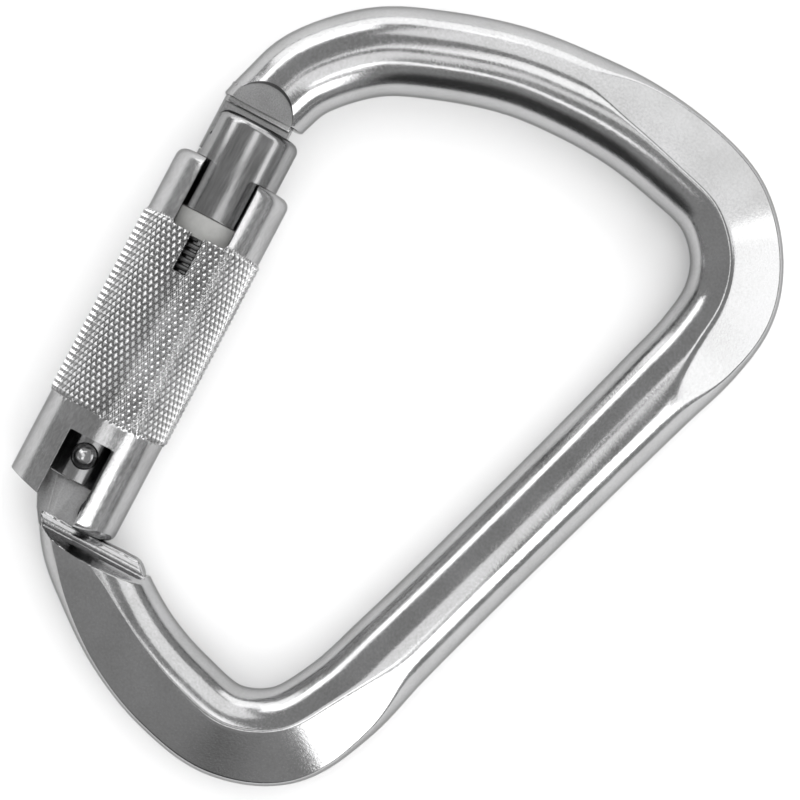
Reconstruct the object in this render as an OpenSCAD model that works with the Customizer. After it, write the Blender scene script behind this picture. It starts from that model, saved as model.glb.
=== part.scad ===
// Auto-locking connector: a forged frame, a swinging gate and a spring-loaded locking sleeve.
// The frame lies flat in the XY plane, its spine along +Y on the +X side and its gate on the -X side.
// The gate and everything on it are drawn along +Z from the hinge and then laid into the frame.

/* [Frame] */
// Half thickness of the forged bar
bar_half = 5.95; // [5.5:0.05:6.2]
// Distance of the pressed flats from the bar's centre line
flat_distance = 4.75; // [4.5:0.05:5.9]
// Tilt of the pressed flats towards the outer edge, in degrees
flat_tilt = 25; // [15:1:35]
// Sides of the forged bar's section
bar_sides = 20; // [12:4:32]
// Rings between two stations of the bar
rings_per_station = 3; // [2:1:4]

/* [Hinge] */
// Hinge pin centre along X
hinge_x = -16.1; // [-17:0.1:-15]
// Hinge pin centre along Y
hinge_y = -35; // [-36:0.1:-34]
// Angle from +Y to the gate's axis, in degrees
gate_angle = 17.2; // [16:0.1:18]
// Thickness of the hinge tang and the nose tongue
tang_t = 4.4; // [4:0.1:4.6]
// Radius of the rounded tang around the hinge pin
tang_r = 4.3; // [4:0.1:4.4]
// Height of the tang's seat for the plunger above the hinge pin
tang_seat = 3.9; // [3.7:0.05:4.1]
// Height of the frame's shoulder along the gate axis
shoulder = -9.15; // [-9.6:0.05:-9.15]
// Radius of the hinge pin
rivet_r = 1.75; // [1.5:0.05:1.9]
// Half length of the hinge pin
rivet_half = 4.25; // [4:0.05:4.3]

/* [Nose] */
// Height of the nose face along the gate axis
nose_face = 51.4; // [51.2:0.1:51.8]
// Height of the milled flats on the nose
nose_flat = 3.85; // [3.6:0.05:4.2]
// Radius of the cutter that milled them
nose_cutter_r = 4.65; // [4.5:0.05:4.8]
// Sideways position of the milled flats
nose_centre = -0.65; // [-0.8:0.05:-0.5]
// Bottom of the key on the tongue
key_bottom = 46.1; // [46:0.1:46.4]
// Top of the key on the tongue
key_top = 48.4; // [48.2:0.1:48.5]
// Thickness of the key
key_t = 5.6; // [5:0.1:6]

/* [Gate] */
// Radius of the gate's head
head_r = 6; // [5.8:0.05:6.05]
// Lower end of the gate's head
head_bottom = 35.6; // [35:0.1:36]
// Upper end of the gate's head
head_top = 49.8; // [49.5:0.1:49.9]
// Radius of the rounded edge on the head
head_round = 1.3; // [0.8:0.1:1.5]
// Radius of the gate's stem
stem_r = 4.5; // [4.4:0.05:4.6]
// Lower end of the clevis below the hinge pin
clevis_end = 3.75; // [3.5:0.05:3.9]
// Top of the clevis slot
clevis_top = 5.6; // [5.4:0.1:6]
// Radius of the plunger's bore
plunger_bore_r = 2.1; // [2:0.05:2.2]
// Upper end of the plunger's bore
plunger_bore_top = 24; // [20:0.5:28]

/* [Sleeve] */
// Radius of the sleeve's bore
bore_r = 6.5; // [6.4:0.05:6.6]
// Radius of the smooth ends
sleeve_r = 8.35; // [8.2:0.05:8.5]
// Radius of the knurled middle
knurl_r = 8.75; // [8.6:0.05:8.9]
// Lower end of the knurled middle
knurl_bottom = 5.6; // [5.4:0.1:6]
// Upper end of the knurled middle
knurl_top = 33.4; // [33:0.1:34]
// Upper ends of the prongs
prong_top = 42.6; // [42:0.1:43]
// Lower end of the long prong
prong_bottom = -9; // [-9:0.05:-8.8]
// Width of the upper windows
top_window_w = 7.9; // [7:0.1:8.5]
// Lower edge of the upper windows
top_window_bottom = 32.8; // [32:0.1:33.2]
// Width of the lower windows
low_window_w = 6.2; // [5.6:0.1:6.6]
// Upper edge of the lower windows
low_window_top = 2.6; // [2.4:0.1:2.8]
// Width of the spring slot
slot_w = 1.9; // [1.5:0.1:2.2]
// Lower end of the spring slot
slot_bottom = 27.4; // [27:0.1:28]
// Lower face of the inner ledge that runs on the stem
ledge_bottom = 3.3; // [3.2:0.1:3.4]
// Upper face of the inner ledge
ledge_top = 5.3; // [5:0.1:5.5]

/* [Springs] */
// Wire radius of the sleeve's spring
sleeve_wire_r = 0.4; // [0.35:0.01:0.45]
// Coil radius of the sleeve's spring
sleeve_coil_r = 5.5; // [5.3:0.05:5.6]
// Turns of the sleeve's spring
sleeve_turns = 25; // [20:1:26]
// Wire radius of the gate's spring
gate_wire_r = 0.25; // [0.2:0.01:0.28]
// Coil radius of the gate's spring
gate_coil_r = 1.7; // [1.5:0.05:1.75]
// Turns of the gate's spring
gate_turns = 11; // [6:1:12]

/* [Hidden] */
$fn = 64;

// Radial clearance of a running fit
run_fit = 0.05;
// Gap beside flat faces that slide on each other
side_gap = 0.1;
// A little extra, so that a cut passes right through
over = 1;
// Upper face of the thrust washer
washer_top = ledge_top + 0.9;
// Lower face of the bush, where the sleeve's spring ends
bush_bottom = head_bottom - 3.2;
// Height of the plunger's foot, where the gate's spring starts
plunger_foot_h = 3;
plunger_bottom = tang_seat + side_gap;
plunger_foot_top = plunger_bottom + plunger_foot_h;
// How far the round section stands outside an unpressed flat
flat_clearance = 0.3;

// The bar's stations, one about every 9 mm from the nose round to the hinge:
// [x, y, half width, how far the section is pressed flat, from 0 to 1]
stations = [
    [-30.4, 3.4, 5.8, 0],
    [-31.5, 10.0, 5.8, 0],
    [-31.9, 16.6, 5.7, 0],
    [-31.2, 22.8, 5.9, 0],
    [-26.9, 30.65, 6.0, 0],
    [-20.35, 36.5, 6.0, 0],
    [-12.35, 41.8, 6.0, 0],
    [-4.35, 45.3, 6.1, 0.1],
    [4.0, 47.9, 6.35, 0.7],
    [12.4, 49.1, 6.5, 1],
    [20.05, 48.9, 6.35, 1],
    [26.35, 45.5, 6.25, 1],
    [30.3, 40.1, 6.4, 1],
    [31.6, 33.2, 6.3, 0.8],
    [31.6, 25.0, 6.1, 0.2],
    [31.55, 15.0, 5.95, 0],
    [31.5, 5.0, 5.85, 0],
    [31.4, -5.0, 5.8, 0],
    [31.3, -15.0, 5.8, 0],
    [31.2, -25.0, 5.95, 0.2],
    [31.1, -34.2, 6.3, 0.8],
    [29.0, -42.8, 6.6, 1],
    [22.7, -48.1, 6.4, 1],
    [14.2, -49.15, 6.5, 1],
    [6.0, -48.35, 6.35, 1],
    [-1.85, -45.95, 6.2, 0.7],
    [-8.45, -42.85, 6.15, 0.1],
    [-13.4, -37.75, 5.95, 0],
    [-16.8, -31.0, 5.6, 0]
];
ring_count = (len(stations) - 3) * rings_per_station + 1;

// A value between four neighbouring stations, at t from 0 to 1 between the middle two
function blend(a, b, c, d, t) =
    (2 * b + (c - a) * t + (2 * a - 5 * b + 4 * c - d) * t * t + (3 * b - a - 3 * c + d) * t * t * t) / 2;

// The bar's station at ring number i
function at_ring(i) =
    let (k = max(0, min(floor(i / rings_per_station), len(stations) - 4)))
    blend(stations[k], stations[k + 1], stations[k + 2], stations[k + 3], i / rings_per_station - k);

// The direction across the bar at ring number i, towards its outer edge
function across(i) =
    let (step = at_ring(i + 0.1) - at_ring(i - 0.1))
    [-step[1], step[0]] / norm([step[0], step[1]]);

// Half thickness of the section at angle a, cut by the pressed flats
function half_height(a, half_w, pressed) =
    let (
        round_z = bar_half * sin(a),
        unpressed = bar_half + flat_clearance,
        distance = unpressed - pressed * (unpressed - flat_distance),
        flat_z = (distance - half_w * cos(a) * sin(flat_tilt)) / cos(flat_tilt)
    )
    sign(round_z) * min(abs(round_z), flat_z);

function ring(i) =
    let (here = at_ring(i), out = across(i))
    [
        for (n = [0:bar_sides - 1])
            let (a = -360 * n / bar_sides, w = here[2] * cos(a))
            [here[0] + out[0] * w, here[1] + out[1] * w, half_height(a, here[2], here[3])]
    ];

// A closed skin over equal rings of points, capped at both ends
module skin(rings) {
    sides = len(rings[0]);
    last = len(rings) - 1;
    walls = [
        for (i = [0:last - 1], n = [0:sides - 1])
            let (m = (n + 1) % sides)
            [i * sides + n, i * sides + m, (i + 1) * sides + m, (i + 1) * sides + n]
    ];
    first_cap = [for (n = [0:sides - 1]) sides - 1 - n];
    last_cap = [for (n = [0:sides - 1]) last * sides + n];
    polyhedron([for (r = rings, p = r) p], concat(walls, [first_cap, last_cap]));
}

// A coil along +Z from z = bottom to z = top, with its ends ground flat
module coil(coil_r, wire_r, turns, bottom, top) {
    steps = 14;
    wire_sides = 6;
    pitch = (top - bottom) / turns;
    intersection() {
        skin([
            for (i = [0:turns * steps])
                let (a = 360 * i / steps, z = bottom + pitch * i / steps)
                [
                    for (n = [0:wire_sides - 1])
                        let (b = -360 * n / wire_sides, r = coil_r + wire_r * cos(b))
                        [r * cos(a), r * sin(a), z + wire_r * sin(b)]
                ]
        ]);
        translate([0, 0, bottom])
            cylinder(h = top - bottom, r = coil_r + wire_r + over);
    }
}

// Lays a child that is drawn along +Z from the hinge into the frame.
// Its +X then points at the spine and its -Y at the frame's front.
module on_gate_axis() {
    translate([hinge_x, hinge_y, 0])
        rotate([-90, 0, gate_angle])
            children();
}

// A plate of thickness t across the gate axis, outlined by its child in (sideways, along the axis)
module plate(t) {
    rotate([90, 0, 0])
        linear_extrude(height = t, center = true)
            children();
}

// A rectangle from one side to the other and from bottom to top
module upright(left, right, bottom, top) {
    translate([left, bottom])
        square([right - left, top - bottom]);
}

// A tube wall's outline turned about the gate axis
module turned() {
    rotate_extrude()
        children();
}

// Frame: nose, top bend, spine, lower bend, hinge shoulder and tang
module body() {
    color("#b4b6b8")
        union() {
            difference() {
                forged_bar();
                on_gate_axis()
                    beyond_shoulder();
                on_gate_axis()
                    nose_milling();
            }
            on_gate_axis()
                hinge_tang();
            on_gate_axis()
                nose_tongue();
        }
}

module forged_bar() {
    skin([for (i = [0:ring_count - 1]) ring(i)]);
}

// What the machining takes off the bar above the hinge shoulder and below the nose face
module beyond_shoulder() {
    reach = 16;
    translate([-reach, -reach, shoulder])
        cube([2 * reach, 2 * reach, nose_face - shoulder]);
}

// The two D-shaped flats on the nose
module nose_milling() {
    for (side = [0, 180])
        rotate([0, 0, side])
            translate([side == 0 ? nose_centre : -nose_centre, nose_flat, nose_face - over])
                rotate([-90, 0, 0])
                    cylinder(h = bar_half, r = nose_cutter_r);
}

// The tang that the gate's clevis straddles
module hinge_tang() {
    root = shoulder - 3;
    waist_r = 3.2;
    waist = [6.0, -6.5];
    inner_flank = [[tang_r, 0], [6, root]];
    outer_flank = [[-0.9, root], [-2.8, shoulder], [-3.8, -7], [-tang_r, 0]];
    difference() {
        intersection() {
            plate(tang_t)
                difference() {
                    union() {
                        circle(r = tang_r);
                        polygon(concat(inner_flank, outer_flank));
                    }
                    translate(waist)
                        circle(r = waist_r);
                }
            translate([-2 * tang_r, -tang_t, root])
                cube([4 * tang_r, 2 * tang_t, tang_seat - root]);
        }
        rotate([90, 0, 0])
            cylinder(h = 2 * tang_t, r = rivet_r + run_fit, center = true);
    }
}

// The tongue and key that the gate's head slides over
module nose_tongue() {
    round_r = bore_r - 2 * side_gap;
    flank_bottom = 43.6;
    flank_side = -5.4;
    key_side = -5.2;
    step_side = -5.8;
    inner_side = 3.9;
    step_t = 6;
    step_bottom = nose_face - 0.8;
    step_top = nose_face + 2;
    intersection() {
        cylinder(h = step_top, r = round_r);
        union() {
            plate(tang_t)
                polygon([
                    [-round_r, flank_bottom], [flank_side, flank_bottom], [flank_side, key_bottom],
                    [inner_side, key_bottom], [inner_side, step_top], [-round_r, step_top]
                ]);
            plate(key_t)
                upright(key_side, inner_side, key_bottom, key_top);
            plate(step_t)
                upright(step_side, inner_side, step_bottom, step_top);
        }
    }
}

// Gate: slotted head, stem and clevis, turned from one bar
module gate() {
    keyway_w = 1.6;
    keyway_depth = 0.8;
    keyway_top = 13;
    color("#a9abad")
        on_gate_axis()
            difference() {
                union() {
                    turned()
                        rounded_bar(head_r, head_bottom, head_top, head_round);
                    translate([0, 0, -clevis_end])
                        cylinder(h = clevis_end + head_bottom + over, r = stem_r);
                }
                head_slot();
                clevis_slot();
                cylinder(h = plunger_bore_top, r = plunger_bore_r);
                rotate([90, 0, 0])
                    cylinder(h = 4 * stem_r, r = rivet_r, center = true);
                translate([stem_r - keyway_depth, -keyway_w / 2, -clevis_end - over])
                    cube([2 * keyway_depth, keyway_w, keyway_top + clevis_end + over]);
            }
}

// Half outline of a bar from bottom to top with a rounded upper edge
module rounded_bar(r, bottom, top, edge_r) {
    translate([0, bottom])
        square([r, top - bottom - edge_r]);
    translate([0, bottom])
        square([r - edge_r, top - bottom]);
    translate([r - edge_r, top - edge_r])
        intersection() {
            circle(r = edge_r);
            square(edge_r);
        }
}

// The slot that takes the nose's tongue and key when the gate shuts
module head_slot() {
    slot_end = 4.1;
    slot_bottom_z = 45.7;
    key_gap = 0.3;
    flank_z = 43.4;
    flank_end = -5.1;
    reach = 2 * head_r;
    tongue_w = tang_t + 3 * side_gap;
    translate([-reach, -tongue_w / 2, slot_bottom_z])
        cube([reach + slot_end, tongue_w, reach]);
    translate([-reach, -tongue_w / 2, flank_z])
        cube([reach + flank_end, tongue_w, reach]);
    translate([-reach, -key_t / 2 - key_gap / 2, slot_bottom_z])
        cube([reach + slot_end, key_t + key_gap, key_top + key_gap - slot_bottom_z]);
}

// The slot that straddles the frame's tang
module clevis_slot() {
    slot_t = tang_t + 2 * side_gap;
    translate([-2 * stem_r, -slot_t / 2, -clevis_end - over])
        cube([4 * stem_r, slot_t, clevis_end + over + clevis_top]);
}

// Rivet that hinges the gate on the tang, dimpled at both ends
module gate_rivet() {
    dimple_r = 1.9;
    dimple_depth = 0.7;
    color("#8f9193")
        on_gate_axis()
            rotate([90, 0, 0])
                difference() {
                    cylinder(h = 2 * rivet_half, r = rivet_r, center = true);
                    for (side = [-1, 1])
                        translate([0, 0, side * (rivet_half + dimple_r - dimple_depth)])
                            sphere(r = dimple_r);
                }
}

// Locking sleeve: a knurled tube with two prongs and two windows at each end
module locking_sleeve() {
    color("#9fa1a3")
        on_gate_axis()
            difference() {
                union() {
                    turned()
                        sleeve_wall();
                    turned()
                        translate([stem_r + run_fit, ledge_bottom])
                            square([bore_r + over - stem_r, ledge_top - ledge_bottom]);
                }
                upper_window();
                lower_window();
                short_prong_cut();
            }
}

// Half outline of the sleeve's wall, stepped at the knurl and rounded at both ends
module sleeve_wall() {
    edge_r = 1.3;
    wall = sleeve_r - bore_r;
    difference() {
        union() {
            translate([bore_r, prong_bottom + edge_r])
                square([wall, prong_top - prong_bottom - 2 * edge_r]);
            translate([bore_r, prong_bottom])
                square([wall - edge_r, prong_top - prong_bottom]);
            for (z = [prong_bottom + edge_r, prong_top - edge_r])
                translate([sleeve_r - edge_r, z])
                    circle(r = edge_r);
            translate([bore_r, knurl_bottom])
                square([knurl_r - bore_r, knurl_top - knurl_bottom]);
        }
        translate([0, prong_bottom - over])
            square([bore_r, prong_top - prong_bottom + 2 * over]);
    }
}

// Upper windows, with rounded corners, and the slot that the spring's end shows in
module upper_window() {
    corner_r = 0.6;
    half = top_window_w / 2;
    high = prong_top - top_window_bottom + over;
    plate(4 * sleeve_r)
        union() {
            translate([-half, top_window_bottom + corner_r])
                square([2 * half, high]);
            translate([-half + corner_r, top_window_bottom])
                square([2 * (half - corner_r), high]);
            for (side = [-1, 1])
                translate([side * (half - corner_r), top_window_bottom + corner_r])
                    circle(r = corner_r);
        }
    translate([-slot_w / 2, -2 * sleeve_r, slot_bottom])
        cube([slot_w, 2 * sleeve_r, top_window_bottom + over - slot_bottom]);
}

// Lower windows, open at the bottom
module lower_window() {
    translate([-low_window_w / 2, -2 * sleeve_r, prong_bottom - over])
        cube([low_window_w, 4 * sleeve_r, low_window_top - prong_bottom + over]);
}

// The short prong's slanting lower end
module short_prong_cut() {
    tip_outer = -5.9;
    tip_inner = -7;
    reach = 2 * sleeve_r;
    window_side = side_gap - low_window_w / 2;
    plate(reach + sleeve_r)
        polygon([
            [window_side, tip_inner], [-sleeve_r, tip_outer], [-reach, tip_outer],
            [-reach, -reach], [window_side, -reach]
        ]);
}

// Torsion and return spring between the washer and the bush
module sleeve_spring() {
    color("#4a4a4c")
        on_gate_axis()
            coil(sleeve_coil_r, sleeve_wire_r, sleeve_turns, washer_top + run_fit, bush_bottom - run_fit);
}

// Nylon bush under the gate's head that guides the sleeve's bore
module sleeve_bush() {
    color("#c9cac8")
        on_gate_axis()
            difference() {
                translate([0, 0, bush_bottom])
                    cylinder(h = head_bottom - bush_bottom, r = bore_r - run_fit);
                cylinder(h = head_bottom + over, r = stem_r + run_fit / 2);
            }
}

// Thrust washer with a tab in the stem's keyway: it lifts with the sleeve and doesn't turn
module spring_washer() {
    tab_w = 1.4;
    tab_depth = 0.7;
    bottom = ledge_top + run_fit;
    thick = washer_top - bottom;
    washer_r = bore_r - 3 * run_fit;
    color("#77797b")
        on_gate_axis()
            difference() {
                translate([0, 0, bottom])
                    cylinder(h = thick, r = washer_r);
                difference() {
                    cylinder(h = washer_top + over, r = stem_r + run_fit);
                    translate([stem_r - tab_depth, -tab_w / 2, 0])
                        cube([2 * tab_depth, tab_w, washer_top + 2 * over]);
                }
            }
}

// Plunger that presses on the tang and shuts the gate
module gate_plunger() {
    pin_r = 1.1;
    pin_top = 15;
    color("#8c8e90")
        on_gate_axis()
            union() {
                translate([0, 0, plunger_bottom])
                    cylinder(h = plunger_foot_h, r = plunger_bore_r - run_fit);
                translate([0, 0, plunger_bottom])
                    cylinder(h = pin_top - plunger_bottom, r = pin_r);
            }
}

// Gate spring between the plunger's foot and the end of its bore
module gate_spring() {
    color("#5a5a5c")
        on_gate_axis()
            coil(gate_coil_r, gate_wire_r, gate_turns, plunger_foot_top + run_fit, plunger_bore_top - run_fit);
}

body();
gate();
gate_rivet();
locking_sleeve();
sleeve_spring();
sleeve_bush();
spring_washer();
gate_plunger();
gate_spring();
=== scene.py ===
import math

import bmesh
import bpy
import numpy as np
from mathutils import Matrix, Vector


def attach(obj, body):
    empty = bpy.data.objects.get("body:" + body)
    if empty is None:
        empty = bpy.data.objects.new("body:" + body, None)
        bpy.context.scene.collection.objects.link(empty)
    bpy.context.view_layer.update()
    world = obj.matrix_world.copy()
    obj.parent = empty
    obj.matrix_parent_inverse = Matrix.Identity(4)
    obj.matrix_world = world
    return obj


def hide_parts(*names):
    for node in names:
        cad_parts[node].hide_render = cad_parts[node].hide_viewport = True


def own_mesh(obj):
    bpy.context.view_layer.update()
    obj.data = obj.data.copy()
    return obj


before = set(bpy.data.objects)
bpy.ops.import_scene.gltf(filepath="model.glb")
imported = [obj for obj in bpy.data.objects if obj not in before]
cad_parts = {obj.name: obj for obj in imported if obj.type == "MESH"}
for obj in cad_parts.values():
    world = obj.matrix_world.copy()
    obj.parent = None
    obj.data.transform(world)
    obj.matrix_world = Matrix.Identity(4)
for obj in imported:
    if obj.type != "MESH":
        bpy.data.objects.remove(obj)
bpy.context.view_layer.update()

MM = 0.001
HINGE = (-16.1, -35.0)
GATE_ANGLE = 17.2
# Gate frame: X sideways towards the spine, Y along the gate from the hinge, Z to the front
GATE = Matrix.Translation((HINGE[0] * MM, HINGE[1] * MM, 0)) @ Matrix.Rotation(
    math.radians(GATE_ANGLE), 4, "Z"
)
# The same with Y along the rivet, which runs from front to back
RIVET = GATE @ Matrix.Rotation(math.radians(90), 4, "X")

# Heights along the gate: the shoulder by the hinge, and the end face of the nose
SHOULDER = -9.15
NOSE_FACE = 51.4
# Half thickness of the tongue and the tang, and half width of the key and the step
TONGUE_T = 2.2
KEY_HALF = 2.8
STEP_HALF = 3.0
# Height of the flats milled on the nose
D_FLAT_Z = 3.85
# Radius that the lathe profiles start from, instead of a point on the axis
AXIS_R = 0.02
# Boolean results are welded at this distance
WELD = 0.004


# ---------------------------------------------------------------- mesh helpers
def mesh_object(name, points, faces, place=None):
    """An object from points in millimetres; place is a matrix in metres."""
    mesh = bpy.data.meshes.new(name)
    mesh.from_pydata((np.asarray(points, float) * MM).tolist(), [], faces)
    if place is not None:
        mesh.transform(place)
    mesh.update()
    obj = bpy.data.objects.new(name, mesh)
    bpy.context.scene.collection.objects.link(obj)
    return obj


def tidy_mesh(obj, sharp=32, merge=0.0):
    """Outward normals, smooth shading and crisp edges above an angle."""
    bm = bmesh.new()
    bm.from_mesh(obj.data)
    if merge:
        bmesh.ops.remove_doubles(bm, verts=bm.verts, dist=merge * MM)
    bmesh.ops.dissolve_degenerate(bm, dist=1e-7, edges=bm.edges)
    bmesh.ops.recalc_face_normals(bm, faces=bm.faces)
    for f in bm.faces:
        f.smooth = True
    bm.to_mesh(obj.data)
    bm.free()
    obj.data.set_sharp_from_angle(angle=math.radians(sharp))
    return obj


def grid(name, rows, place=None, around=True, loop=False, caps=True):
    """A skin over rows of points; around closes each row and loop joins the last row to the first."""
    rows = np.asarray(rows, float)
    count, sides = rows.shape[:2]
    faces = []
    for i in range(count if loop else count - 1):
        j = (i + 1) % count
        for n in range(sides if around else sides - 1):
            m = (n + 1) % sides
            faces.append((i * sides + n, i * sides + m, j * sides + m, j * sides + n))
    points = rows.reshape(-1, 3)
    if caps and not loop:
        for row, flip in ((0, True), (count - 1, False)):
            ids = [row * sides + n for n in range(sides)]
            faces.append(tuple(reversed(ids)) if flip else tuple(ids))
    obj = mesh_object(name, points, faces, place)
    return tidy_mesh(obj)


def lathe(name, profile, place=None, sides=96, closed=True):
    """A profile of (radius, height) turned about Y; closed joins its last point to its first."""
    angles = np.linspace(0, 2 * math.pi, sides, endpoint=False)
    rows = [
        np.stack([r * np.sin(angles), np.full(sides, h), r * np.cos(angles)], axis=1) for r, h in profile
    ]
    return grid(name, rows, place, loop=closed, caps=not closed)


def arc(cx, cy, r, a0, a1, n):
    """Points of an arc, with its angles in degrees."""
    turns = np.radians(np.linspace(a0, a1, n))
    return [(cx + r * math.cos(a), cy + r * math.sin(a)) for a in turns]


def prism(name, outline, low, high, place=None, bevel=0.0, segments=3):
    """An outline in X and Y pulled from z = low to z = high, with its edges rounded."""
    n = len(outline)
    points = [(x, y, low) for x, y in outline] + [(x, y, high) for x, y in outline]
    faces = [tuple(reversed(range(n))), tuple(range(n, 2 * n))]
    faces += [(i, (i + 1) % n, n + (i + 1) % n, n + i) for i in range(n)]
    obj = mesh_object(name, points, faces)
    bm = bmesh.new()
    bm.from_mesh(obj.data)
    bmesh.ops.recalc_face_normals(bm, faces=bm.faces)
    if bevel:
        same_z = 1e-9
        rims = [e for e in bm.edges if abs(e.verts[0].co.z - e.verts[1].co.z) < same_z]
        corners = [
            e for e in bm.edges
            if abs(e.verts[0].co.z - e.verts[1].co.z) > same_z and e.calc_face_angle(0) > math.radians(30)
        ]
        bmesh.ops.bevel(
            bm, geom=rims + corners, offset=bevel * MM, segments=segments, affect="EDGES",
            profile=0.5, clamp_overlap=True,
        )
    bm.to_mesh(obj.data)
    bm.free()
    if place is not None:
        obj.data.transform(place)
    return obj


def box(name, x, y, z, place=None, bevel=0.0):
    """A box from its ranges in X, Y and Z."""
    outline = [(x[0], y[0]), (x[1], y[0]), (x[1], y[1]), (x[0], y[1])]
    return prism(name, outline, z[0], z[1], place, bevel)


def combine(obj, tool, how="DIFFERENCE"):
    """Cuts or joins obj with tool, which is used up."""
    mod = obj.modifiers.new("combine", "BOOLEAN")
    mod.operation = how
    mod.solver = "MANIFOLD"
    mod.object = tool
    bpy.context.view_layer.update()
    graph = bpy.context.evaluated_depsgraph_get()
    made = bpy.data.meshes.new_from_object(obj.evaluated_get(graph))
    obj.modifiers.clear()
    old = obj.data
    obj.data = made
    bpy.data.meshes.remove(old)
    bpy.data.objects.remove(tool)
    return obj


# ---------------------------------------------------------------- the forged bar
# x, y, half width and how far the section is pressed flat, from the nose round to the hinge
STATIONS = np.array([
    [-30.4, 3.4, 5.8, 0], [-31.5, 10.0, 5.8, 0], [-31.9, 16.6, 5.7, 0], [-31.2, 22.8, 5.9, 0],
    [-26.9, 30.65, 6.0, 0], [-20.35, 36.5, 6.0, 0], [-12.35, 41.8, 6.0, 0], [-4.35, 45.3, 6.1, 0.1],
    [4.0, 47.9, 6.35, 0.7], [12.4, 49.1, 6.5, 1], [20.05, 48.9, 6.35, 1], [26.35, 45.5, 6.25, 1],
    [30.3, 40.1, 6.4, 1], [31.6, 33.2, 6.3, 0.8], [31.6, 25.0, 6.1, 0.2], [31.55, 15.0, 5.95, 0],
    [31.5, 5.0, 5.85, 0], [31.4, -5.0, 5.8, 0], [31.3, -15.0, 5.8, 0], [31.2, -25.0, 5.95, 0.2],
    [31.1, -34.2, 6.3, 0.8], [29.0, -42.8, 6.6, 1], [22.7, -48.1, 6.4, 1], [14.2, -49.15, 6.5, 1],
    [6.0, -48.35, 6.35, 1], [-1.85, -45.95, 6.2, 0.7], [-8.45, -42.85, 6.15, 0.1], [-13.4, -37.75, 5.95, 0],
    [-16.8, -31.0, 5.6, 0],
])
# Half thickness of the round bar, and the pressed flats' distance from its centre and tilt
BAR_HALF = 5.95
FLAT_DISTANCE = 4.75
FLAT_TILT = math.radians(25)
LAST = len(STATIONS) - 3.0
SIDES = 144


def soft_min(a, b, width):
    """The smaller of a and b, rounded where they meet."""
    h = np.clip(0.5 + 0.5 * (b - a) / width, 0, 1)
    return b * (1 - h) + a * h - width * h * (1 - h)


def along(t):
    """Station values at t, which counts stations from the second."""
    k = np.clip(np.floor(t).astype(int), 0, int(LAST) - 1)
    f = (t - k)[..., None]
    a, b, c, d = (STATIONS[k + i] for i in range(4))
    return (
        2 * b + (c - a) * f + (2 * a - 5 * b + 4 * c - d) * f * f + (3 * b - a - 3 * c + d) * f * f * f
    ) / 2


def gate_height(x, y):
    """Height along the gate's axis, from the hinge."""
    g = math.radians(GATE_ANGLE)
    return -(x - HINGE[0]) * math.sin(g) + (y - HINGE[1]) * math.cos(g)


def bar_skin(t, angle):
    """Points of the bar at stations t and section angles, both arrays of one shape."""
    here = along(t)
    step = along(np.clip(t + 0.03, 0, LAST)) - along(np.clip(t - 0.03, 0, LAST))
    length = np.hypot(step[..., 0], step[..., 1])
    across = np.stack([-step[..., 1] / length, step[..., 0] / length], axis=-1)
    half_w, pressed = here[..., 2], here[..., 3]
    w = half_w * np.cos(angle)
    x = here[..., 0] + across[..., 0] * w
    y = here[..., 1] + across[..., 1] * w
    round_z = BAR_HALF * np.sin(angle)
    clear = BAR_HALF + 0.3
    distance = clear - pressed * (clear - FLAT_DISTANCE)
    flat_z = (distance - w * math.sin(FLAT_TILT)) / math.cos(FLAT_TILT)
    edge_round = 0.22
    z = np.sign(round_z) * soft_min(np.abs(round_z), flat_z, edge_round)
    return np.stack([x, y, z], axis=-1)


def shoulder_limit(s):
    """Highest the front stands at height s near the hinge shoulder: a rounded lip, then a scoop."""
    lip_s, scoop_s = -10.45, -12.5
    low_z, lip_z = 2.12, 2.65
    dip, dip_share, climb = 0.3, 0.4, 3.9
    lip_share = np.clip((SHOULDER - s) / (SHOULDER - lip_s), 0, 1)
    lip = low_z + (lip_z - low_z) * np.sin(0.5 * math.pi * lip_share)
    w = np.clip((lip_s - s) / (lip_s - scoop_s), 0, None)
    scoop = lip_z - dip * np.sin(math.pi * np.minimum(w / dip_share, 1)) + climb * w**2
    return np.where(s > lip_s, lip, scoop)


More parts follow.
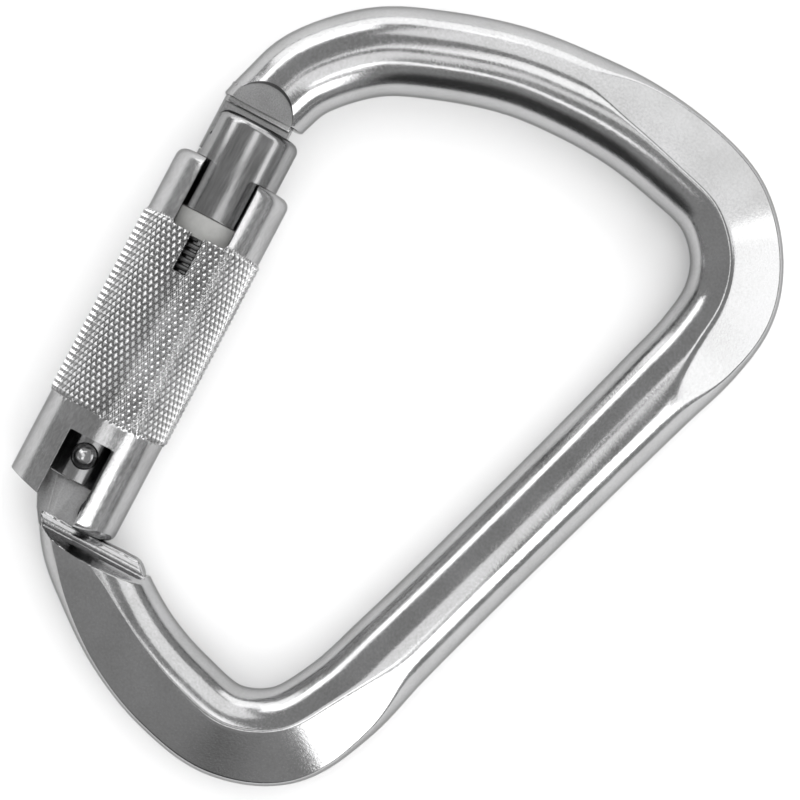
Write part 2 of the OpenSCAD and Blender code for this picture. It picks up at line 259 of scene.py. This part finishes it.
def forged_bar():
    """Rings of the bar from the nose round to the hinge shoulder, with rounded end faces."""
    angles = -2 * math.pi * np.arange(SIDES) / SIDES
    t = np.linspace(0, LAST, 1300)
    tt, aa = np.meshgrid(t, angles, indexing="ij")
    raw = bar_skin(tt, aa)
    height = gate_height(raw[..., 0], raw[..., 1])
    fillet = 0.35
    # Where each line along the bar meets the two end faces
    t_first = np.zeros(SIDES)
    t_last = np.zeros(SIDES)
    for n in range(SIDES):
        h = height[:, n]
        i = int(np.argmax(h > NOSE_FACE + fillet))
        t_first[n] = np.interp(NOSE_FACE + fillet, [h[i - 1], h[i]], [t[i - 1], t[i]]) if i else 0
        j = len(t) - 1 - int(np.argmax(h[::-1] < SHOULDER - fillet))
        t_last[n] = np.interp(-(SHOULDER - fillet), [-h[j], -h[j + 1]], [t[j], t[j + 1]])
    # Rows crowd together near the shoulder, where the scoop is
    crowded = 0.96
    share = np.concatenate([np.linspace(0, crowded, 620, endpoint=False), np.linspace(crowded, 1, 110)])
    tt = t_first[None] + (t_last - t_first)[None] * share[:, None]
    rows = bar_skin(tt, np.broadcast_to(angles, tt.shape))
    s = gate_height(rows[..., 0], rows[..., 1])
    near = share[:, None] > 0.85
    limit = shoulder_limit(s)
    cut = np.sign(rows[..., 2]) * soft_min(np.abs(rows[..., 2]), limit, 0.18)
    rows[..., 2] = np.where(near & (s < 0), cut, rows[..., 2])

    # Rounded edges down to the two flat end faces
    g = math.radians(GATE_ANGLE)
    axis = np.array([-math.sin(g), math.cos(g), 0])

    def end(ring, sign):
        """Rings that round the bar's edge and close its end face."""
        made = []
        centre = ring.mean(axis=0)
        steps = 4
        for k in range(1, steps + 1):
            a = math.radians(90 * k / steps)
            inward = centre - ring
            inward -= np.outer(inward @ axis, axis)
            inward /= np.linalg.norm(inward, axis=1)[:, None]
            made.append(ring + inward * fillet * (1 - math.cos(a)) + axis * sign * fillet * math.sin(a))
        for shrink in (0.6, 0.2):
            last = made[steps - 1]
            middle = last.mean(axis=0)
            made.append(middle + (last - middle) * shrink)
        return made

    first = end(rows[0], -1)
    last = end(rows[-1], 1)
    return np.array(first[::-1] + list(rows) + last)


bar = grid("body_visual", forged_bar())

# The D-shaped flats on the nose, with slightly sloping walls
D_CENTRE = (-0.65, 50.4)
D_R_LOW, D_R_HIGH = 4.62, 5.05
for side in (1, -1):
    turns = np.linspace(0, 2 * math.pi, 96, endpoint=False)
    rings = [
        [(D_CENTRE[0] + r * math.cos(a), D_CENTRE[1] + r * math.sin(a), side * z) for a in turns]
        for r, z in ((D_R_LOW, D_FLAT_Z), (D_R_HIGH, 6.6))
    ]
    combine(bar, grid("cut", rings, GATE))
    combine(bar, box("cut", (-9, -3.4), (50, 53.2), sorted((side * D_FLAT_Z, side * 8)), GATE))

# Tongue, key and step under the nose face, all inside a round of radius ROUND_R
ROUND_R = 6.1
tongue = prism(
    "tongue", [(-7, 43.6), (-5.4, 43.6), (-5.4, 46.1), (3.9, 46.1), (3.9, 53.4), (-7, 53.4)],
    -TONGUE_T, TONGUE_T, GATE, 0.05,
)
combine(tongue, box("key", (-5.2, 3.88), (46.1, 48.4), (-KEY_HALF, KEY_HALF), GATE, 0.15), "UNION")
combine(tongue, box("step", (-5.7, 3.86), (50.6, 53.3), (-STEP_HALF, STEP_HALF), GATE, 0.25), "UNION")
round_profile = [(AXIS_R, 40), (ROUND_R, 40), (ROUND_R, 56), (AXIS_R, 56)]
combine(tongue, lathe("round", round_profile, GATE, 96, closed=False), "INTERSECT")
combine(bar, tongue, "UNION")

# The hinge tang: round about the rivet, relieved on its inner flank, and ending inside the bar
TANG_R = 4.3
RELIEF_R = 3.2
tang_outline = (
    arc(0, 0, TANG_R, 65.1, 0, 14)
    + arc(6, -6.5, RELIEF_R, 112.5, 263.5, 16)
    + [(6, -12.15), (0.2, -12.15), (-1.5, -10.9), (-2.7, -9.15), (-3.75, -7)]
    + arc(0, 0, TANG_R, 180, 114.9, 14)
)
tang = prism("tang", tang_outline[::-1], -TONGUE_T, TONGUE_T, GATE, 0.3, 4)
combine(tang, lathe("hole", [(1.8, -6), (1.8, 6)], RIVET, 48, closed=False))
combine(bar, tang, "UNION")
# The shoulder's inner corner is rounded
corner_cut = [
    (11.9, -9.05), (12.8, -9.25), (13.4, -9.6), (13.9, -10.1), (14.3, -10.7), (17, -9.5), (13, -7),
]
combine(bar, prism("corner", corner_cut, -8, 8, GATE))
tidy_mesh(bar, 30, WELD)
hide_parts("body")
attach(bar, "frame")


# ---------------------------------------------------------------- the gate
def rounded_rod(r, low, high, r_low, r_high, steps=8):
    """Profile of a solid rod with rounded edges, from the axis round to the axis."""
    made = [(AXIS_R, low)]
    made += arc(r - r_low, low + r_low, r_low, 270, 360, steps)
    made += arc(r - r_high, high - r_high, r_high, 0, 90, steps)
    made += [(AXIS_R, high)]
    return made


HEAD_R, HEAD_LOW, HEAD_HIGH = 6.0, 35.6, 49.8
STEM_R, STEM_LOW = 4.5, -3.75
head_profile = rounded_rod(HEAD_R, HEAD_LOW, HEAD_HIGH, 0.2, 1.3)
stem_profile = rounded_rod(STEM_R, STEM_LOW, HEAD_LOW + 0.9, 0.35, 0.2)
gate = lathe("gate_visual", head_profile, GATE, 128, closed=False)
stem = lathe("stem", stem_profile, GATE, 96, closed=False)
combine(gate, stem, "UNION")

# The head's slot takes the nose's tongue and key when the gate shuts
HEAD_SLOT = 2.35
POCKET = HEAD_SLOT + 0.01
KEY_SLOT = KEY_HALF + 0.15
slot_outline = [(-12, 45.7), (4.1, 45.7), (4.1, 60), (-12, 60)]
slot_tool = prism("slot", slot_outline, -HEAD_SLOT, HEAD_SLOT, GATE)
combine(slot_tool, box("pocket", (-12.5, -5.1), (43.4, 55), (-POCKET, POCKET), GATE), "UNION")
combine(slot_tool, box("key_slot", (-13, 4.12), (45.72, 48.7), (-KEY_SLOT, KEY_SLOT), GATE), "UNION")
combine(gate, slot_tool)

# Clevis for the tang, bore for the plunger, rivet hole, and keyway for the washer's tab
combine(gate, box("clevis", (-9, 9), (-5, 5.6), (-2.3, 2.3), GATE))
combine(gate, lathe("bore", [(2.1, -1), (2.1, 24)], GATE, 48, closed=False))
combine(gate, lathe("hole", [(1.85, -6), (1.85, 6)], RIVET, 48, closed=False))
combine(gate, box("keyway", (3.7, 5.5), (-5, 13), (-0.8, 0.8), GATE))
tidy_mesh(gate, 30, WELD)
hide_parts("gate")
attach(gate, "gate")

# Rivet, dished at both ends, with a fine groove round it
dish = [
    (AXIS_R, 3.5), (0.5, 3.55), (0.95, 3.7), (1.3, 3.92),
    (1.5, 4.14), (1.58, 4.2), (1.66, 4.16), (1.74, 4.02),
]
rivet_profile = [(r, -z) for r, z in dish] + dish[::-1]
rivet = lathe("gate_rivet_visual", rivet_profile, RIVET, 64, closed=False)
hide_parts("gate_rivet")
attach(rivet, "gate")

# Nylon bush under the head, with softened edges
BUSH_BORE, BUSH_R, BUSH_LOW = 4.53, 6.45, 32.4
bush_profile = [
    (BUSH_BORE, BUSH_LOW), (BUSH_R - 0.2, BUSH_LOW), (BUSH_R - 0.03, BUSH_LOW + 0.1),
    (BUSH_R, BUSH_LOW + 0.3), (BUSH_R, HEAD_LOW - 0.3), (BUSH_R - 0.03, HEAD_LOW - 0.1),
    (BUSH_R - 0.2, HEAD_LOW), (BUSH_BORE, HEAD_LOW),
]
bush = lathe("sleeve_bush_visual", bush_profile, GATE, 96)
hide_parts("sleeve_bush")
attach(bush, "gate")

# ---------------------------------------------------------------- the locking sleeve
SLEEVE_R = 8.35
BORE_R = 6.5
# The long prong's end and the upper prongs' ends, both rounded by RIM_R
SLEEVE_LOW, SLEEVE_HIGH = -9.0, 42.6
RIM_R = 1.3
# Diamond knurl: its ends, depth, starts round the tube, and pitch along it
KNURL_LOW, KNURL_HIGH = 5.6, 33.4
KNURL_DEPTH = 0.4
STARTS = 58
PITCH_ALONG = 1.64
PER_PITCH = 8


def sleeve():
    """The knurled tube, with the ledge inside it, before its windows are cut."""
    sides = STARTS * PER_PITCH
    angles = 2 * math.pi * np.arange(sides) / sides
    step = PITCH_ALONG / PER_PITCH
    low, high = SLEEVE_LOW + RIM_R, SLEEVE_HIGH - RIM_R
    knurl_rows = np.arange(KNURL_LOW, KNURL_HIGH + 0.01, step)
    knurl_end = knurl_rows[-1]
    rows = []

    def ring(r, s):
        rows.append(np.stack([r * np.sin(angles), np.full(sides, s), r * np.cos(angles)], axis=1))

    for r, s in arc(SLEEVE_R - RIM_R, low, RIM_R, 270, 360, 8)[:-1]:
        ring(r, s)
    for s in np.linspace(low, KNURL_LOW - 0.25, 12):
        ring(SLEEVE_R, s)
    for s in knurl_rows:
        p = angles * STARTS / (2 * math.pi) + (s - KNURL_LOW) / PITCH_ALONG
        q = angles * STARTS / (2 * math.pi) - (s - KNURL_LOW) / PITCH_ALONG
        dp = np.abs(p - np.round(p))
        dq = np.abs(q - np.round(q))
        rise = np.clip(np.minimum(dp, dq) / 0.42, 0, 1)
        edge = min(1.0, (s - KNURL_LOW) / 0.5, (knurl_end - s) / 0.5)
        ring(SLEEVE_R + KNURL_DEPTH * rise * max(edge, 0.0) - 0.02 * (1 - rise), s)
    for s in np.linspace(knurl_end + 0.25, high, 6):
        ring(SLEEVE_R, s)
    for r, s in arc(SLEEVE_R - RIM_R, high, RIM_R, 0, 90, 8)[1:]:
        ring(r, s)
    # Down the bore, past the ledge that carries the washer
    for r, s in (
        (BORE_R, SLEEVE_HIGH), (BORE_R, 30), (BORE_R, 18), (BORE_R, 5.35), (4.6, 5.3), (4.55, 5.2),
        (4.55, 3.4), (4.6, 3.3), (BORE_R, 3.3), (BORE_R, 0), (BORE_R, SLEEVE_LOW),
    ):
        ring(r, s)
    return grid("locking_sleeve_visual", rows, GATE, loop=True)


def diamond(x, z, size, low, high):
    """A square bar on its corner, along the gate's axis, that cuts a chamfer."""
    outline = [(x + size, z), (x, z + size), (x - size, z), (x, z - size)]
    points = [(a, low, b) for a, b in outline] + [(a, high, b) for a, b in outline]
    faces = [(0, 1, 2, 3), (7, 6, 5, 4)]
    faces += [(i, i + 4, (i + 1) % 4 + 4, (i + 1) % 4) for i in range(4)]
    obj = mesh_object("chamfer", points, faces, GATE)
    return tidy_mesh(obj)


sleeve_obj = sleeve()
# Half widths of the upper and lower windows
HALF_TOP, HALF_LOW = 3.95, 3.1
WINDOW_LOW = 32.8
WINDOW_CORNER = 0.6
window = (
    arc(-HALF_TOP + WINDOW_CORNER, WINDOW_LOW + WINDOW_CORNER, WINDOW_CORNER, 180, 270, 6)
    + arc(HALF_TOP - WINDOW_CORNER, WINDOW_LOW + WINDOW_CORNER, WINDOW_CORNER, 270, 360, 6)
    + [(HALF_TOP, 44), (-HALF_TOP, 44)]
)
tool = prism("window", window, -12, 12, GATE)
# The slot that the spring shows in is at the front only
combine(tool, box("slot", (-0.95, 0.95), (27.4, 33.5), (3, 12), GATE), "UNION")
for side in (1, -1):
    for x, size in ((HALF_TOP, 0.22), (-HALF_TOP, 0.22)):
        z = math.sqrt(SLEEVE_R**2 - x * x)
        combine(tool, diamond(x, side * z, size, 33.4, 43.5), "UNION")
combine(sleeve_obj, tool)

low_window = prism(
    "low_window", [(-HALF_LOW, -11), (HALF_LOW, -11)] + arc(HALF_LOW - 0.3, 2.3, 0.3, 0, 90, 4)
    + arc(-HALF_LOW + 0.3, 2.3, 0.3, 90, 180, 4), -12, 12, GATE,
)
# The short prong's slanting end
TIP_OUTER, TIP_INNER = -5.9, -7.0
tip_x = -HALF_LOW + 0.1
prong_outline = [(-SLEEVE_R, TIP_OUTER), (-14, TIP_OUTER), (-14, -12), (tip_x, -12), (tip_x, TIP_INNER)]
prong_cut = prism("prong_cut", prong_outline, -13, 13, GATE)
combine(low_window, prong_cut, "UNION")
for side in (1, -1):
    for x, size in ((HALF_LOW, 0.5), (-HALF_LOW, 0.16)):
        z = math.sqrt(SLEEVE_R**2 - x * x)
        combine(low_window, diamond(x, side * z, size, -10, 2.55), "UNION")
combine(sleeve_obj, low_window)
tidy_mesh(sleeve_obj, 26, WELD)
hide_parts("locking_sleeve")
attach(sleeve_obj, "sleeve")


# ---------------------------------------------------------------- springs
def coil(name, coil_r, wire_r, turns, low, high, steps=28, sides=10):
    """A wound spring with its ends ground flat at low and high."""
    rows = []
    pitch = (high - low) / turns
    for i in range(turns * steps + 1):
        a = 2 * math.pi * i / steps
        s = low + pitch * i / steps
        ring = []
        for n in range(sides):
            b = 2 * math.pi * n / sides
            r = coil_r + wire_r * math.cos(b)
            height = min(max(s + wire_r * math.sin(b), low), high)
            ring.append((r * math.sin(a), height, r * math.cos(a)))
        rows.append(ring)
    return grid(name, rows, GATE)


def spring(node, body, coil_r, wire_r, turns, low, high):
    """A spring in place of the CAD's part, carried with its body."""
    obj = coil(node + "_visual", coil_r, wire_r, turns, low, high)
    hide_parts(node)
    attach(obj, body)
    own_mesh(obj)
    return obj


spring_a = spring("sleeve_spring", "gate", 5.5, 0.4, 25, 6.25, 32.35)
spring_b = spring("gate_spring", "gate", 1.7, 0.25, 11, 7.05, 23.95)


# ---------------------------------------------------------------- materials
def metal(name, dark, light, rough_low, rough_high, grain, bump, streak=1.0, angle=0.0, coarse=0.0):
    """Bare metal. Grain and soft clouds vary its colour and roughness; streak under 1 draws the grain
    out along the gate, and coarse adds small dents to the bump, which is in millimetres."""
    mat = bpy.data.materials.new(name)
    mat.use_nodes = True
    nodes, links = mat.node_tree.nodes, mat.node_tree.links
    shader = nodes["Principled BSDF"]
    shader.inputs["Metallic"].default_value = 1.0
    # Grazing reflections are greyer than on a perfect mirror
    shader.inputs["Specular Tint"].default_value = (0.45, 0.45, 0.45, 1)
    where = nodes.new("ShaderNodeTexCoord")
    turn = nodes.new("ShaderNodeMapping")
    turn.vector_type = "TEXTURE"
    turn.inputs["Rotation"].default_value = (0, 0, math.radians(angle))
    turn.inputs["Scale"].default_value = (1, 1 / streak, 1)
    links.new(where.outputs["Object"], turn.inputs["Vector"])

    fine = nodes.new("ShaderNodeTexNoise")
    fine.inputs["Scale"].default_value = grain
    fine.inputs["Detail"].default_value = 4.0
    fine.inputs["Roughness"].default_value = 0.6
    links.new(turn.outputs["Vector"], fine.inputs["Vector"])

    cloud = nodes.new("ShaderNodeTexNoise")
    cloud.inputs["Scale"].default_value = 160.0
    cloud.inputs["Detail"].default_value = 5.0
    links.new(where.outputs["Object"], cloud.inputs["Vector"])

    mix = nodes.new("ShaderNodeMath")
    mix.operation = "ADD"
    links.new(fine.outputs["Fac"], mix.inputs[0])
    links.new(cloud.outputs["Fac"], mix.inputs[1])

    tone = nodes.new("ShaderNodeMapRange")
    tone.inputs["From Min"].default_value = 0.7
    tone.inputs["From Max"].default_value = 1.3
    links.new(mix.outputs[0], tone.inputs["Value"])
    ramp = nodes.new("ShaderNodeValToRGB")
    ramp.color_ramp.elements[0].color = (dark, dark, dark, 1)
    ramp.color_ramp.elements[1].color = (light, light, light * 1.01, 1)
    links.new(tone.outputs["Result"], ramp.inputs["Fac"])
    links.new(ramp.outputs["Color"], shader.inputs["Base Color"])

    rough = nodes.new("ShaderNodeMapRange")
    rough.inputs["From Min"].default_value = 0.75
    rough.inputs["From Max"].default_value = 1.25
    rough.inputs["To Min"].default_value = rough_low
    rough.inputs["To Max"].default_value = rough_high
    links.new(mix.outputs[0], rough.inputs["Value"])
    links.new(rough.outputs["Result"], shader.inputs["Roughness"])

    height = fine.outputs["Fac"]
    if coarse:
        dents = nodes.new("ShaderNodeTexNoise")
        dents.inputs["Scale"].default_value = 4200.0
        dents.inputs["Detail"].default_value = 2.0
        links.new(where.outputs["Object"], dents.inputs["Vector"])
        total = nodes.new("ShaderNodeMath")
        total.operation = "MULTIPLY_ADD"
        total.inputs[1].default_value = coarse
        links.new(dents.outputs["Fac"], total.inputs[0])
        links.new(fine.outputs["Fac"], total.inputs[2])
        height = total.outputs[0]
    relief = nodes.new("ShaderNodeBump")
    relief.inputs["Strength"].default_value = 1.0
    relief.inputs["Distance"].default_value = bump * MM
    links.new(height, relief.inputs["Height"])
    links.new(relief.outputs["Normal"], shader.inputs["Normal"])
    return mat


def nylon():
    """Matt, slightly mottled nylon."""
    mat = bpy.data.materials.new("nylon")
    mat.use_nodes = True
    nodes, links = mat.node_tree.nodes, mat.node_tree.links
    shader = nodes["Principled BSDF"]
    where = nodes.new("ShaderNodeTexCoord")
    noise = nodes.new("ShaderNodeTexNoise")
    noise.inputs["Scale"].default_value = 900.0
    noise.inputs["Detail"].default_value = 4.0
    links.new(where.outputs["Object"], noise.inputs["Vector"])
    ramp = nodes.new("ShaderNodeValToRGB")
    ramp.color_ramp.elements[0].color = (0.24, 0.24, 0.235, 1)
    ramp.color_ramp.elements[1].color = (0.34, 0.34, 0.33, 1)
    links.new(noise.outputs["Fac"], ramp.inputs["Fac"])
    links.new(ramp.outputs["Color"], shader.inputs["Base Color"])
    shader.inputs["Roughness"].default_value = 0.55
    relief = nodes.new("ShaderNodeBump")
    relief.inputs["Strength"].default_value = 0.6
    relief.inputs["Distance"].default_value = 0.02 * MM
    links.new(noise.outputs["Fac"], relief.inputs["Height"])
    links.new(relief.outputs["Normal"], shader.inputs["Normal"])
    return mat


def paint(obj, mat):
    """Makes mat the object's first material."""
    obj.data.materials.clear()
    obj.data.materials.append(mat)


polished = metal("polished_alloy", 0.37, 0.47, 0.1, 0.19, 3000, 0.006, coarse=0.9)
satin = metal("satin_alloy", 0.25, 0.36, 0.14, 0.22, 3000, 0.005, streak=0.1, angle=GATE_ANGLE, coarse=0.8)
knurled = metal(
    "knurled_alloy", 0.36, 0.52, 0.14, 0.24, 3200, 0.006, streak=0.4, angle=GATE_ANGLE, coarse=1.0
)
# A lighter copy of the knurled metal for the knurl's crests: a painted highlight
crest_highlight = metal(
    "knurl_crest_highlight", 0.62, 0.8, 0.22, 0.34, 3200, 0.004, streak=0.4, angle=GATE_ANGLE, coarse=1.0
)
milled = metal("milled_alloy", 0.26, 0.44, 0.3, 0.42, 5200, 0.012, coarse=1.0)
rivet_steel = metal("rivet_steel", 0.38, 0.5, 0.12, 0.22, 2500, 0.004)
spring_steel = metal("spring_steel", 0.1, 0.2, 0.25, 0.4, 3000, 0.004)
nylon_mat = nylon()

paint(bar, polished)
# The milled faces are matt: the tang's flats, the nose's flats and the tongue
bar.data.materials.append(milled)
to_gate = GATE.inverted()
MILLED_HEIGHTS = (TONGUE_T, STEP_HALF, D_FLAT_Z)
TANG_END, NOSE_START = 4.5 * MM, 43 * MM
for face in bar.data.polygons:
    middle = to_gate @ face.center
    at_height = min(abs(abs(middle.z) / MM - h) for h in MILLED_HEIGHTS) < 0.01
    level = abs(face.normal.z) > 0.98 and at_height
    if level and (middle.y < TANG_END or middle.y > NOSE_START):
        face.material_index = 1
paint(gate, satin)
paint(rivet, rivet_steel)
paint(sleeve_obj, knurled)
# The knurl's crests get a lighter copy of the knurled metal: a painted highlight
sleeve_obj.data.materials.append(crest_highlight)
CREST_R = (SLEEVE_R + 0.4 * KNURL_DEPTH) * MM
for face in sleeve_obj.data.polygons:
    middle = to_gate @ face.center
    if math.hypot(middle.x, middle.z) > CREST_R:
        face.material_index = 1
paint(bush, nylon_mat)
paint(spring_a, spring_steel)
paint(spring_b, spring_steel)
# The washer and the plunger are the CAD's own
for node in ("spring_washer", "gate_plunger"):
    for place in bpy.data.objects[node].material_slots:
        place.link = "OBJECT"
        place.material = rivet_steel

# ---------------------------------------------------------------- floor, light and camera
# The floor touches the knurl's lower end and the spine, as the part lies on a table.
contact_x, contact_r = -17.8, 8.8
spine_x, spine_r = 31.7, 5.98
FLOOR_HALF = 900
tilt = math.asin((contact_r - spine_r) / (spine_x - contact_x))
floor_z = -spine_r / math.cos(tilt) - spine_x * math.tan(tilt)
floor = mesh_object(
    "floor",
    [(x * FLOOR_HALF, y * FLOOR_HALF, 0) for x, y in ((-1, -1), (1, -1), (1, 1), (-1, 1))],
    [(0, 1, 2, 3)],
    Matrix.Translation((0, 0, floor_z * MM)) @ Matrix.Rotation(-tilt, 4, "Y"),
)
pale = bpy.data.materials.new("floor")
pale.use_nodes = True
pale_shader = pale.node_tree.nodes["Principled BSDF"]
pale_shader.inputs["Base Color"].default_value = (0.93, 0.93, 0.93, 1)
pale_shader.inputs["Roughness"].default_value = 0.9
pale_shader.inputs["Specular IOR Level"].default_value = 0.1
paint(floor, pale)

world = bpy.data.worlds.new("studio")
bpy.context.scene.world = world
world.use_nodes = True
world.node_tree.nodes["Background"].inputs["Strength"].default_value = 1.0

# Picture right and picture up, in the row frame
RIGHT = Vector((math.sqrt(0.5), math.sqrt(0.5), 0))
UP = Vector((-math.sqrt(0.5), math.sqrt(0.5), 0))

# The room is mid grey and darkens towards the lower edge of the picture
sky = world.node_tree.nodes
facing = sky.new("ShaderNodeTexCoord")
towards = sky.new("ShaderNodeVectorMath")
towards.operation = "DOT_PRODUCT"
towards.inputs[1].default_value = tuple((-0.36 * RIGHT - 0.93 * UP).normalized())
world.node_tree.links.new(facing.outputs["Generated"], towards.inputs[0])
fall = sky.new("ShaderNodeMapRange")
fall.interpolation_type = "SMOOTHSTEP"
for field, value in (("From Min", 0.78), ("From Max", 0.92), ("To Min", 0.42), ("To Max", 0.06)):
    fall.inputs[field].default_value = value
world.node_tree.links.new(towards.outputs["Value"], fall.inputs["Value"])
world.node_tree.links.new(fall.outputs["Result"], sky["Background"].inputs["Color"])
# The point that the camera and the panels look at
MIDDLE = Vector((8.24, -0.14, 0)) * MM


def panel(name, azimuth, lean, wide, high, radiance, distance=0.6, mirrored=True):
    """A soft light panel. Azimuth is counted from picture right towards picture up, and lean from the
    vertical. Width and height are angles seen from the part. Unmirrored, it is hidden from gloss."""
    turn, tip = math.radians(azimuth), math.radians(lean)
    level = RIGHT * math.cos(turn) + UP * math.sin(turn)
    away = level * math.sin(tip) + Vector((0, 0, 1)) * math.cos(tip)
    sideways = Vector((0, 0, 1)).cross(level).normalized()
    upright = away.cross(sideways)
    data = bpy.data.lights.new(name, "AREA")
    data.shape = "RECTANGLE"
    data.size = 2 * distance * math.tan(math.radians(wide) / 2)
    data.size_y = 2 * distance * math.tan(math.radians(high) / 2)
    data.energy = radiance * math.pi * data.size * data.size_y
    lamp = bpy.data.objects.new(name, data)
    bpy.context.scene.collection.objects.link(lamp)
    lamp.matrix_world = Matrix.Translation(MIDDLE + away * distance) @ Matrix(
        (sideways, upright, away)).transposed().to_4x4()
    lamp.visible_glossy = mirrored
    return lamp


panel("overhead", 60, 15, 14, 18, 1.9)
panel("centre", -64, 22, 20, 40, 1.2, 0.62)
panel("low_strip", -90, 31, 40, 6, 2.4)
panel("upper_right", 50, 52, 60, 36, 1.2)
panel("right", -14, 59, 56, 12, 2.0)
panel("lower_right", -54, 58, 30, 24, 3.6)
panel("upper_left", 120, 64, 44, 14, 2.8)
panel("upper_rim", 90, 80, 80, 22, 1.8)
panel("floor_fill", 0, 0, 90, 90, 0.85, 0.8, mirrored=False)

LENS, SENSOR = 150, 36
WIDTH_SEEN = 0.1072
camera_data = bpy.data.cameras.new("camera")
camera_data.lens = LENS
camera_data.sensor_width = SENSOR
camera = bpy.data.objects.new("camera", camera_data)
bpy.context.scene.collection.objects.link(camera)
camera.location = MIDDLE + Vector((0, 0, WIDTH_SEEN * LENS / SENSOR))
camera.rotation_euler = (0, 0, math.radians(45))
camera_data.clip_start = 0.01
camera_data.clip_end = 20
bpy.context.scene.camera = camera
bpy.context.scene.view_settings.view_transform = "Standard"
